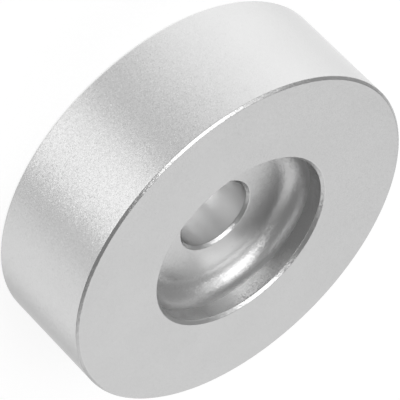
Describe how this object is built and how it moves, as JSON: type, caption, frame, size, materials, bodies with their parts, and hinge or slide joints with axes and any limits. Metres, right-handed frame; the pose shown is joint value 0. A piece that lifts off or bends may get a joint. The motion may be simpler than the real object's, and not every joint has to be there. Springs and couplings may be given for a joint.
{
  "type": "record weight clamp",
  "caption": "Turned aluminium disc that sits on a turntable spindle to hold a record down, with a dished round recess in one face and a through bore.",
  "frame": {"origin": "centre of the flat back face, on the disc's axis, where the disc rests", "axes": "+Z along the disc's axis, from the flat back towards the recessed face"},
  "size_m": [0.038, 0.038, 0.0121],
  "materials": {
    "blasted_aluminium": "fine bead-blasted and clear anodised, satin silver, with a sparkling grain"
  },
  "bodies": {
    "root": {"weight_disc": "blasted_aluminium"}
  },
  "joints": []
}
